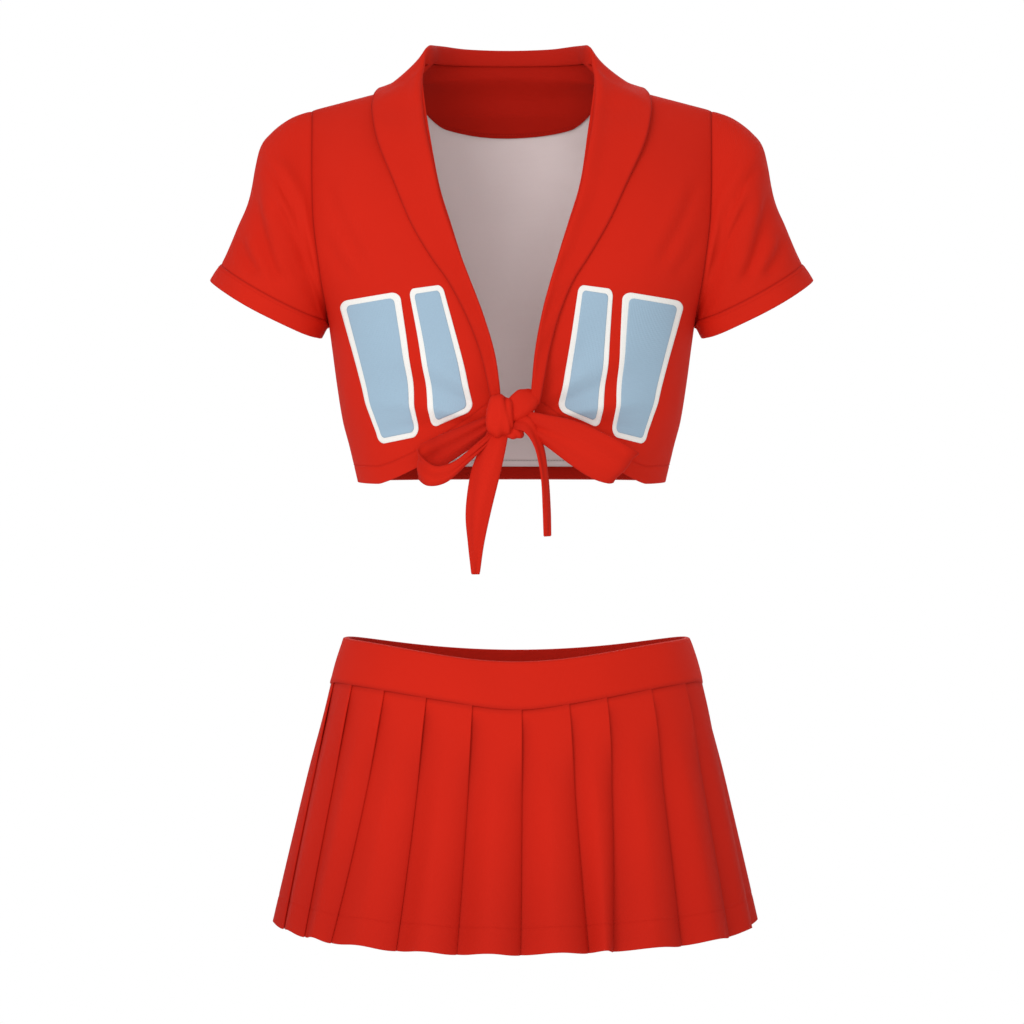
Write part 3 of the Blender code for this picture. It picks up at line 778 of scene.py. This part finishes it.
def sleeves():
    us = np.linspace(0, 1, 97)
    cuff_v, length = cuff_line(us)
    for side, sign in SIDES:
        bends = (f"{side}_sleeve", (sign * 0.190, 0, 0.41), (sign * 0.236, 0, 0.41))
        share = np.r_[0, 0.007, 0.014, 0.024, 0.036, 0.052, np.linspace(0.075, 0.96, 40), 0.975, 0.985, 0.993, 0.999]
        u, w = np.meshgrid(us, share)
        v = w * cuff_v
        p = sleeve_surface(u, v)
        looks, n = looking_out(p)
        x, z, behind = p[..., 0], p[..., 2], np.sin(TAU * u) / 0.25
        fold = sum(crease(x, z, line, 5.5, 3.9) for line in SLEEVE_CREASES) * smooth(-behind)
        fold = fold + sum(crease(x + 4, z - 8, line, 6.0, 2.0) for line in SLEEVE_CREASES[:2]) * smooth(behind)
        from_seam, from_hem = v * length, (cuff_v - v) * length
        fold = fold * smooth(from_seam / 12) * smooth(from_hem / 12)
        dip = seam_dip(from_seam, 2.2, 1.5) + seam_dip(from_hem, 1.2, 0.6) - fold
        p = p - n * dip[..., None]
        # Painted shade: darker beside the armhole seam and beside the seam to the cuff.
        tint = seam_painted_shade(from_seam, 1.6, 0.5) * seam_painted_shade(from_hem, 1.0, 0.5)
        piece = Piece(f"{side}_sleeve_cloth", red, grey)
        piece.shell(on_side(p, sign), side=looks, ring=True, tint=turned(tint, sign))
        finished(piece, f"{side}_sleeve", bends=bends, flat=(0.42, 0.17), held="draped", area=0.052)

        share = np.r_[0, 0.03, 0.08, np.linspace(0.15, 0.9, 9), 0.95, 1.0]
        u, w = np.meshgrid(us, share)
        v = mix(cuff_v, 1.0, w)
        p = sleeve_surface(u, v)
        looks, n = looking_out(p)
        wave = 0.9 * np.sin(u * TAU * 5 + 1) * smooth(w / 0.6)
        from_hem = (v - cuff_v) * length
        p = p + n * (0.35 + wave - seam_dip(from_hem, 1.2, 0.7))[..., None]
        piece = Piece(f"{side}_cuff_cloth", red, red_painted_shade, thread)
        # Painted shade: darker beside the cuff's seam to the sleeve.
        tint = turned(seam_painted_shade(from_hem, 1.0, 0.5), sign)
        piece.shell(on_side(p, sign), thick=2.2, side=looks, ring=True, tint=tint)
        line, up = on_side(p, sign)[3], on_side(n, sign)[3]
        piece.stitches(line + up * 1.1, up, 2, pitch=2.6, lift=0.02)
        finished(piece, f"{side}_cuff", bends=bends, flat=(0.36, 0.024), held="folded")


# ---- skirt


def waistband():
    seam, bottom = 0.0006, 1.005
    for half, start, end in (("front", -0.25 + seam, 0.25 - seam), ("back", 0.25 + seam, 0.75 - seam)):
        outer = [(l, 0.5 + 0.9 * math.sin(math.pi * (1 - l))) for l in np.linspace(bottom - 0.04, 0.055, 22)]
        section = [(bottom - 0.004, -0.6), (bottom, -0.1), (bottom - 0.004, 0.25), (bottom - 0.015, 0.42)] + outer + [
            (0.022, 0.5), (0.008, -0.4), (0.0, -1.8), (0.0, -3.2), (0.008, -4.4), (0.025, -5.1)]
        section += [(l, -5.4) for l in np.linspace(0.05, 0.97, 14)] + [(0.99, -5.2), (1.0, -4.2), (1.0, -2.2)]
        level, out = np.array(section + section[:1]).T
        turn = np.linspace(start, end, 121)[:, None]
        ripple = 0.35 * np.sin(turn * TAU * 13) * smooth(np.sin(math.pi * np.clip(level, 0, 1)) * 2)
        piece = Piece(f"waistband_{half}_cloth", red, red_painted_shade, hang="skirt")
        # Painted shade: a dark line along the band's lower edge on its outside.
        tint = 1 - 0.34 * bump((bottom - level) * BAND_HEIGHT, 2.2) * (out > -1) + 0 * turn
        piece.tube(skirt_ring(turn, level, out + ripple), tint=tint[:, :-1])
        inside = np.tile(out[:-1] < -3.8, len(turn))
        piece.slots = [int(inside[list(face)].all()) for face in piece.faces]
        finished(piece, f"waistband_{half}", f"waistband_{half}_facing", body="skirt_band",
                 flat=(0.46, 0.046), held="stretched")


def waist_elastic():
    t, l = np.meshgrid(np.linspace(0, 1, 181), np.linspace(0.1, 0.86, 12))
    p = skirt_ring(t, l, -2.4 + 0.25 * np.sin(l * TAU * 6))
    piece = Piece("waistband_elastic_cloth", elastic, hang="skirt")
    piece.shell(p, thick=1.2, side=facing(p, p * LEVEL, ring=True), wrong=0, ring=True)
    finished(piece, "waistband_elastic", body="skirt_band", slot="elastic_white",
             flat=(0.90, 0.033), held="stretched", rests_on=["waistband_front_cloth", "waistband_back_cloth"])


# How far each fold drifts round the skirt towards the hem, and stands off even spacing, in pleats.
FOLD_DRIFT = {17: 0.16, 18: 0.04, 19: -0.30, 20: -0.15, 21: -0.09, 0: -0.05, 1: 0.10, 2: -0.30, 3: -0.10, 4: -0.10,
              5: -0.17, 7: 0.12, 9: -0.14, 11: 0.10, 13: -0.12, 15: 0.10}
FOLD_SHIFT = {17: -0.10, 18: -0.15, 19: -0.19, 20: -0.19, 21: -0.16, 0: -0.06, 2: -0.16, 3: -0.10, 4: -0.05}
PLEAT_THICK = 0.9


def pleat_section(w, level, calm, hidden):
    """Place across the pleat, in pleats from the last fold, and height over the skirt's ring. w runs along
    the cloth: 0 to 1 the hidden start and the face, to 2 round the fold, to 3 back under the face, to 4 round
    the inner fold, and to 5 forward again under the next pleat."""
    drop = np.clip(level - 1, 0, 1)
    width = mix(43.0, 54.0, drop)
    pressed = smooth((drop * SKIRT_LENGTH - 3) / 34)
    soft = smooth((drop - 0.04) / 0.36)
    depth = 2.0 + (0.6 + 1.0 * calm) * pressed + 11.6 * drop * calm
    radius = 0.5
    lowered = -0.96 * (depth - 2 * radius - 0.9)
    face_end, inner_fold = 1 - radius / width, 0.76

    def height(q):
        rise = np.clip(q, 0, 1)
        crisp = -depth * (1 - rise**0.9)
        wavy = -depth * (1 - smooth(rise / 0.55)) + lowered * np.clip((rise - 0.5) / 0.5, 0, 1) ** 2.2
        return mix(crisp, wavy, soft)

    def share(start):
        return np.clip(w - start, 0, 1)

    low = -depth - 0.9 - 0.7 * soft
    q = mix(-hidden, face_end, share(0))
    h, h_end = height(q), lowered * soft
    q = np.where(w > 1, face_end + np.sin(share(1) * math.pi) * radius / width, q)
    h = np.where(w > 1, h_end - radius + np.cos(share(1) * math.pi) * radius, h)
    q_back = mix(face_end, inner_fold, share(2))
    h_back = np.maximum(height(q_back) - 2 * radius - 0.1, -depth + 0.1 + 0.8 * soft)
    h_back = mix(h_end - 2 * radius, np.minimum(h_back, height(q_back) - 2 * radius), smooth(share(2) / 0.2))
    q, h = np.where(w > 2, q_back, q), np.where(w > 2, h_back, h)
    round_fold = share(3) * math.pi
    q = np.where(w > 3, inner_fold - np.sin(round_fold) * 1.2 / width, q)
    h = np.where(w > 3, (h_back + low) / 2 + np.cos(round_fold) * (h_back - low) / 2, h)
    q = np.where(w > 4, mix(inner_fold, 1.70, share(4)), q)
    h = np.where(w > 4, low - 0.5 * share(4), h)
    return q, h


def between_folds(shifts, index, q):
    """A value at place q across a pleat, between the fold before it and its own."""
    return mix(shifts.get((index - 1) % PLEATS, 0), shifts.get(index, 0), np.clip(q, 0, 1))


def pleats():
    hem, length = 24.0, 230.2
    for index in range(PLEATS):
        w = np.r_[np.linspace(0, 0.28, 5)[:-1], np.linspace(0.28, 1, 27), np.linspace(1, 2, 8)[1:],
                  2.1, 2.25, 2.5, 2.75, np.linspace(3, 4, 6), np.linspace(4, 5, 9)[1:]]
        levels = 1 - 0.028 + 1.028 * lines_near(56, (0, 2.5, 5, length - hem, length), length)
        w, level = np.meshgrid(w, levels[::-1])
        angle = TAU * (index + PLEAT_PHASE - 0.5) / PLEATS
        hidden = 0.40 + 0.16 * smooth((abs(math.sin(angle)) - 0.5) / 0.4)
        drop = np.clip(level - 1, 0, 1)
        q = pleat_section(w, level, 1.0, hidden)[0]
        drift = between_folds(FOLD_DRIFT, index, q) * drop**1.6 + between_folds(FOLD_SHIFT, index, q)
        turn = (index + PLEAT_PHASE + q - 1 + drift) / PLEATS
        to_left, face = np.sin(TAU * turn), np.clip(q, 0, 1)
        calm = 1 - 0.5 * smooth((to_left - 0.65) / 0.35) - 0.7 * smooth((-to_left - 0.45) / 0.4)
        h = pleat_section(w, level, calm, hidden)[1]
        lean = 1.6 * np.sin(1.7 * (index + q)) * drop**2 + 1.2 * np.sin(3 * TAU * turn + 0.6) * drop
        tuck = 1.3 * smooth((1.0 - level) / 0.012) + 0.3
        p = skirt_ring(turn, level, h + lean - tuck)
        scallop = (-1.7 * np.cos(TAU * np.clip(q - 0.04, -0.2, 1.0)) + 1.2 * np.sin(TAU * 4 * turn + 1)) * drop**3
        covered = np.maximum(smooth(-q / 0.12), smooth((w - 1.7) / 0.5))
        p = p + points(0, 0, scallop - 5.5 * np.abs(to_left) ** 3 * drop**2 + 3.5 * covered * drop**2)
        from_hem = (2.0 - level) * SKIRT_LENGTH
        n = normals_of(p)
        looks = int(np.sign((n * p * LEVEL).sum(-1)[len(n) // 2, 12]))
        n = n * looks
        p = p - n * (0.35 * bump(from_hem - hem, 1.4) * smooth((0.985 - w) / 0.04))[..., None]
        # Painted shade: a dark line under the waistband's seam, a faint one along the hem's stitch line, and darker
        # towards the hem and towards the sides.
        tint = seam_painted_shade(np.maximum(level - 1, 0) * SKIRT_LENGTH, 2.6, 0.46) * seam_painted_shade(from_hem - hem, 1.0, 0.07)
        tint = tint * (1 - 0.21 * smooth((drop - 0.4) / 0.6)) * (1 - 0.16 * smooth((np.abs(to_left) - 0.72) / 0.28))
        # Painted shade in each valley after a fold and where the cloth rolls over into its fold, fading in below the
        # band.
        past_fold, shown = face * 50, smooth((drop * SKIRT_LENGTH - 5) / 14)
        valley = mix(0.30 * bump(past_fold, 8.5), 0.33 * np.exp(-past_fold / 11), smooth(drop * 4))
        roll = 0.30 + 0.10 * smooth((math.sin(angle) - 0.2) / 0.5)
        roll = roll * np.exp((face - 1) * 50 / 13) * smooth((drop - 0.08) / 0.25)
        body = f"pleat_{index + 1:02d}"
        piece = Piece(f"{body}_cloth", red, grey, thread, hang="skirt")
        piece.shell(p, thick=PLEAT_THICK, side=looks, tint=tint * (1 - shown * valley * (0.6 + 0.4 * calm) - roll))
        row, seen = int(np.abs(from_hem[:, 0] - hem).argmin()), slice(6, 30)
        piece.stitches((p + n * PLEAT_THICK / 2)[row, seen], n[row, seen], 2, radius=0.22, lift=0.02)
        middle = (index + PLEAT_PHASE - 0.25) / PLEATS
        start, end = (tuple(skirt_ring(middle, np.float64(l)) * MM) for l in (1.0, 1.16))
        finished(piece, body, body="skirt_band", bends=(body, start, end), flat=(0.15, 0.23), held="folded")


# ---- bow


def ribbon(rows, across, along, gathers, ruffle, seed=0.0):
    """A ribbon through rows, and the places across and along it. gathers, at its two ends, and ruffle, all
    along, are heights in mm."""
    centres, widths, bows = zip(*rows)
    s, t = np.meshgrid(np.linspace(-1, 1, across), np.linspace(0, 1, along + 1))
    c, w = spline(centres, t), spline(widths, t)
    b = spline(bows, t)[..., 0]
    n = unit(np.cross(w, spline(centres, t + 0.01) - spline(centres, t - 0.01)))
    gathered = gathers[0] * np.exp(-t / 0.15) + gathers[1] * np.exp(-(1 - t) / 0.15)
    lift = b * (1 - s * s) + ruffle * np.sin(s * 5 + t * 7 + seed) + gathered * np.cos(s * 7.5 + seed)
    return c + w * s[..., None] + n * lift[..., None], s, t


# The bow, as (centre, half-width vector, depth bow) along each strand.
LOOPS = {
    "right": (
        ((-8, -128, 226), (0, 0, 5), 0), ((-27, -123, 213), (1, -1, 10), 2), ((-50, -121, 200), (2, -2, 14), 2.5),
        ((-73, -120, 188), (1, -3, 16), 1.5), ((-87.5, -129, 180), (0, -2, 13), 0),
        ((-76, -141, 169.5), (3, 2, 8.5), -1), ((-58, -143, 173), (4, 2, 9), -2), ((-38, -141, 190), (3, 1, 7.5), -2),
        ((-14, -133, 212), (1, 0, 5), -1),
    ),
    "left": (
        ((4, -132, 222), (-2, 0, 8), -1), ((30, -137, 211), (0, 0, 14), -3.5), ((54, -136, 200), (3, 0, 19), -3.5),
        ((79, -133, 187), (8, 0, 19), -2), ((98, -128, 178), (11, 0, 15.5), 0), ((103, -120, 177), (11, 0, 13), 0),
        ((88, -116, 186), (7, 0, 14), 1), ((58, -119, 200), (2, 0, 13), 1), ((16, -124, 217), (-2, 0, 7), 1),
    ),
}
TAILS = {
    "right": (
        ((-13, -133, 216), (9, 0, 2), -2), ((-19, -137, 195), (11.5, -1, 1), -3), ((-26, -139, 171), (13, -2, 0), -4),
        ((-32.5, -139, 136), (11, -2, 0), -3.5), ((-34.6, -138, 106), (6.8, -1, 0), -2),
        ((-35, -137, 79), (3.4, 0, 0), -0.5),
    ),
    "left": (
        ((2, -138, 219), (3, 3, 6), -1), ((14, -141, 215), (3.4, 4, 5), -1), ((23.5, -138, 196), (3.8, 6, 1), -1),
        ((28.6, -136, 168), (3.0, 6.5, 0), -1), ((30.4, -136, 140), (2.7, 5.5, 0), -1),
        ((31.2, -136, 114), (2.6, 4, 0), 0),
    ),
}


def bow():
    for side, rows in LOOPS.items():
        seed = 1.0 if side == "left" else 2.2
        p, s, t = ribbon(rows, 25, 90, (1.6, 1.6), 0.8, seed)
        piece = Piece(f"{side}_bow_loop_cloth", red, red, hang=None)
        # Painted shade: darker at the knot, at the loop's turn, towards its edges and on the far strand, with lighter
        # and darker stripes of painted light and shade along the gathers.
        at_knot = 0.35 * np.exp(-t / 0.07) + 0.35 * np.exp(-(1 - t) / 0.07)
        far_strand = smooth((0.46 - t) / 0.08) if side == "right" else smooth((t - 0.62) / 0.08)
        gathered = 0.16 * np.cos(s * 7.5 + seed) * (np.exp(-t / 0.2) + np.exp(-(1 - t) / 0.2))
        tint = 1 - at_knot - 0.22 * bump(t - 0.55, 0.05) - 0.15 * smooth((np.abs(s) - 0.6) / 0.4) - 0.30 * far_strand
        piece.shell(p, thick=1.9, wrong=0, tint=np.clip(tint + gathered, 0.2, 1))
        flat, area = ((0.03, 0.24), 0.0056) if side == "left" else ((0.022, 0.20), 0.0036)
        finished(piece, f"{side}_bow_loop", flat=flat, held="gathered", area=area)
    for side, rows in TAILS.items():
        p, s, t = ribbon(rows, 21, 70, (0.7 if side == "right" else 0.2, 0), 0.4)
        # Painted shade: darker at the knot, along a fold across the tail and towards its edges.
        tint = 1 - 0.35 * np.exp(-t / 0.08) - 0.20 * bump(s + 0.75 - 0.5 * t, 0.28)
        piece = Piece(f"{side}_bow_tail_cloth", red, red, hang=None)
        piece.shell(p, thick=2.0, wrong=0, tint=tint - 0.12 * smooth((np.abs(s) - 0.75) / 0.25))
        flat = (0.032, 0.145) if side == "right" else (0.016, 0.12)
        finished(piece, f"{side}_bow_tail", bends=(f"{side}_tail", (0, -0.136, 0.210), (0, -0.136, 0.186)),
                 flat=flat, held="hung", area=flat[0] * flat[1] * 0.8, rests_on=["bow_knot_wrap_cloth"])
    lon, lat = np.meshgrid(TAU * np.linspace(0, 1, 65), math.pi * np.linspace(0.01, 0.99, 49))
    ball = points(np.sin(lat) * np.cos(lon), np.sin(lat) * np.sin(lon), np.cos(lat))
    ball = ball * ((np.abs(ball) ** 2.8).sum(-1) ** (-1 / 2.8))[..., None]
    x, y, z = np.moveaxis(ball, -1, 0)
    furrows = 0.05 * np.sin(z * 3 + x * 4) + 0.035 * np.sin(x * 8 + 2 - z)
    furrows = furrows - 0.10 * bump(x - 0.62 + 0.25 * z, 0.10) * (y < 0)
    ball = ball[::-1] * (1 + furrows)[::-1, :, None]
    wrap = Piece("bow_knot_wrap_cloth", red, hang=None)
    wrap.tube(points(-12.2, -136, 224.5) + ball * points(12.8, 12.5, 19.4))
    wrap.tube(points(1.5, -134, 209.5) + ball * points(8.5, 7.5, 6.5))

    path = ((17, -124, 246), (13.5, -129, 241), (7, -133, 234.5), (-1, -134, 227), (-9, -130, 219))
    u, v = grid(48, 40)
    centre, ahead = spline(path, v), unit(spline(path, v + 0.02) - spline(path, v - 0.02))
    beside = unit(np.cross(ahead, points(0, -1, 0)))
    over = np.cross(beside, ahead)
    half = spline((8, 12, 12.5, 12, 9), v)[..., 0] * np.sin(math.pi * np.clip(v * 0.94 + 0.03, 0, 1)) ** 0.2
    deep = spline((3, 5, 6.5, 7, 5), v)[..., 0] * (1 + 0.16 * np.sin(3 * TAU * u + 2 * v))
    p = centre + beside * (half * np.cos(TAU * u))[..., None] + over * (deep * np.sin(TAU * u))[..., None]
    finished(wrap, "bow_knot_wrap")
    core = Piece("bow_knot_core_cloth", red, hang=None)
    core.tube(p)
    finished(core, "bow_knot_core")


# ---- chest stripes

STRIPES = {
    "outer": ((90, 205), (124, 197), (161, 330), (103, 339)),
    "inner": ((39, 230), (78, 212), (94, 341), (63, 345)),
}


def rounded(u, v, ru, rv):
    """Maps a square grid, -1 to 1, onto a square with round corners."""
    a, b = np.clip((np.abs(u) - 1 + ru) / ru, 0, None), np.clip((np.abs(v) - 1 + rv) / rv, 0, None)
    corner = (a > 0) & (b > 0)
    scale = np.where(corner, np.maximum(a, b) / np.maximum(np.hypot(a, b), 1e-9), 1)
    return np.where(corner, np.sign(u) * (1 - ru + ru * a * scale), u), np.where(
        corner, np.sign(v) * (1 - rv + rv * b * scale), v)


def stripes():
    for side, sign in SIDES:
        for place, corners in STRIPES.items():
            c = np.array(corners, float)
            wide = np.linalg.norm(c[2] - c[3] + c[1] - c[0]) / 4
            tall = np.linalg.norm(c[3] - c[0] + c[2] - c[1]) / 4
            for inset, lift, cloth, slot, name, corner_u, corner_v in (
                (0.0, 0.9, white, "white_twill", "stripe_backing", 0.30, 0.11),
                (5.0, 1.5, blue, "blue_twill", "stripe", 0.20, 0.07),
            ):
                u, v = np.meshgrid(np.linspace(-1, 1, 37), np.linspace(-1, 1, 81))
                u, v = rounded(u, v, corner_u, corner_v)
                a, b = (u * (1 - inset / wide) + 1) / 2, (v * (1 - inset / tall) + 1) / 2
                flat = mix(mix(c[0], c[1], a[..., None]), mix(c[3], c[2], a[..., None]), b[..., None])
                piece = Piece(f"{side}_{place}_{name}_cloth", cloth)
                piece.shell(on_side(chest_cloth(flat[..., 0], flat[..., 1], lift), sign), thick=0.6, wrong=0)
                size = (2 * (wide - inset) * MM, 2 * (tall - inset) * MM)
                finished(piece, f"{side}_{place}_{name}", slot=slot, flat=size, held="laid",
                         rests_on=[f"{side}_front_cloth"])


# ---- light, floor and camera


def look_at(obj, target):
    obj.rotation_euler = (Vector(target) - obj.location).to_track_quat("-Z", "Y").to_euler()


def area_light(name, place, target, size, power):
    lamp = bpy.data.lights.new(name, "AREA")
    lamp.shape, lamp.size, lamp.energy = "DISK", size, power
    made = new_object(name, lamp)
    made.location = place
    look_at(made, target)


def studio():
    scene = bpy.context.scene
    scene.view_settings.view_transform = "Standard"
    world = bpy.data.worlds.new("studio")
    world.use_nodes = True
    tree = world.node_tree
    light = set_up(tree.nodes["Background"], Color=(1, 1, 1, 1), Strength=0.66)
    seen = node(tree, "ShaderNodeBackground", Color=(1, 1, 1, 1), Strength=1.0)
    path = node(tree, "ShaderNodeLightPath")
    chosen = node(tree, "ShaderNodeMixShader")
    for output, socket in zip((path.outputs["Is Camera Ray"], light.outputs[0], seen.outputs[0]), chosen.inputs):
        tree.links.new(output, socket)
    tree.links.new(chosen.outputs[0], tree.nodes["World Output"].inputs["Surface"])
    scene.world = world
    area_light("key", (-2.0, -4.3, 1.3), (0, 0, 0.15), 2.6, 76)
    area_light("front", (0.3, -4.9, 0.2), (0, 0, 0.2), 1.3, 34)
    area_light("back", (0.4, 2.8, 1.6), (0, 0, 0.2), 2.4, 30)

    mesh = bpy.data.meshes.new("floor")
    bm = bmesh.new()
    bmesh.ops.create_circle(bm, cap_ends=True, segments=96, radius=2.0)
    bm.to_mesh(mesh)
    bm.free()
    floor = new_object("floor", mesh)
    floor.location = (0, 0, -1.05)
    paper, tree, shader = new_material("pale_floor")
    speckle = noise_of(tree, node(tree, "ShaderNodeTexCoord").outputs["Object"], 40.0)
    tone = grey_of(tree, maths(tree, "MULTIPLY_ADD", speckle, 0.02, 0.83))
    tree.links.new(tone, shader.inputs["Base Color"])
    shader.inputs["Roughness"].default_value = 0.9
    mesh.materials.append(paper)

    lens = bpy.data.cameras.new("camera")
    lens.lens, lens.sensor_width = 166.5, 36.0
    camera = new_object("camera", lens)
    aim, away, tilt = Vector((-0.0014, 0, 0.131)), 4.5, math.radians(2)
    camera.location = aim + Vector((0, -math.cos(tilt), math.sin(tilt))) * away
    look_at(camera, aim)
    scene.camera = camera


front_panels()
back_panel()
neck_facing()
shawl_collar()
sleeves()
stripes()
bow()
waistband()
waist_elastic()
pleats()
studio()
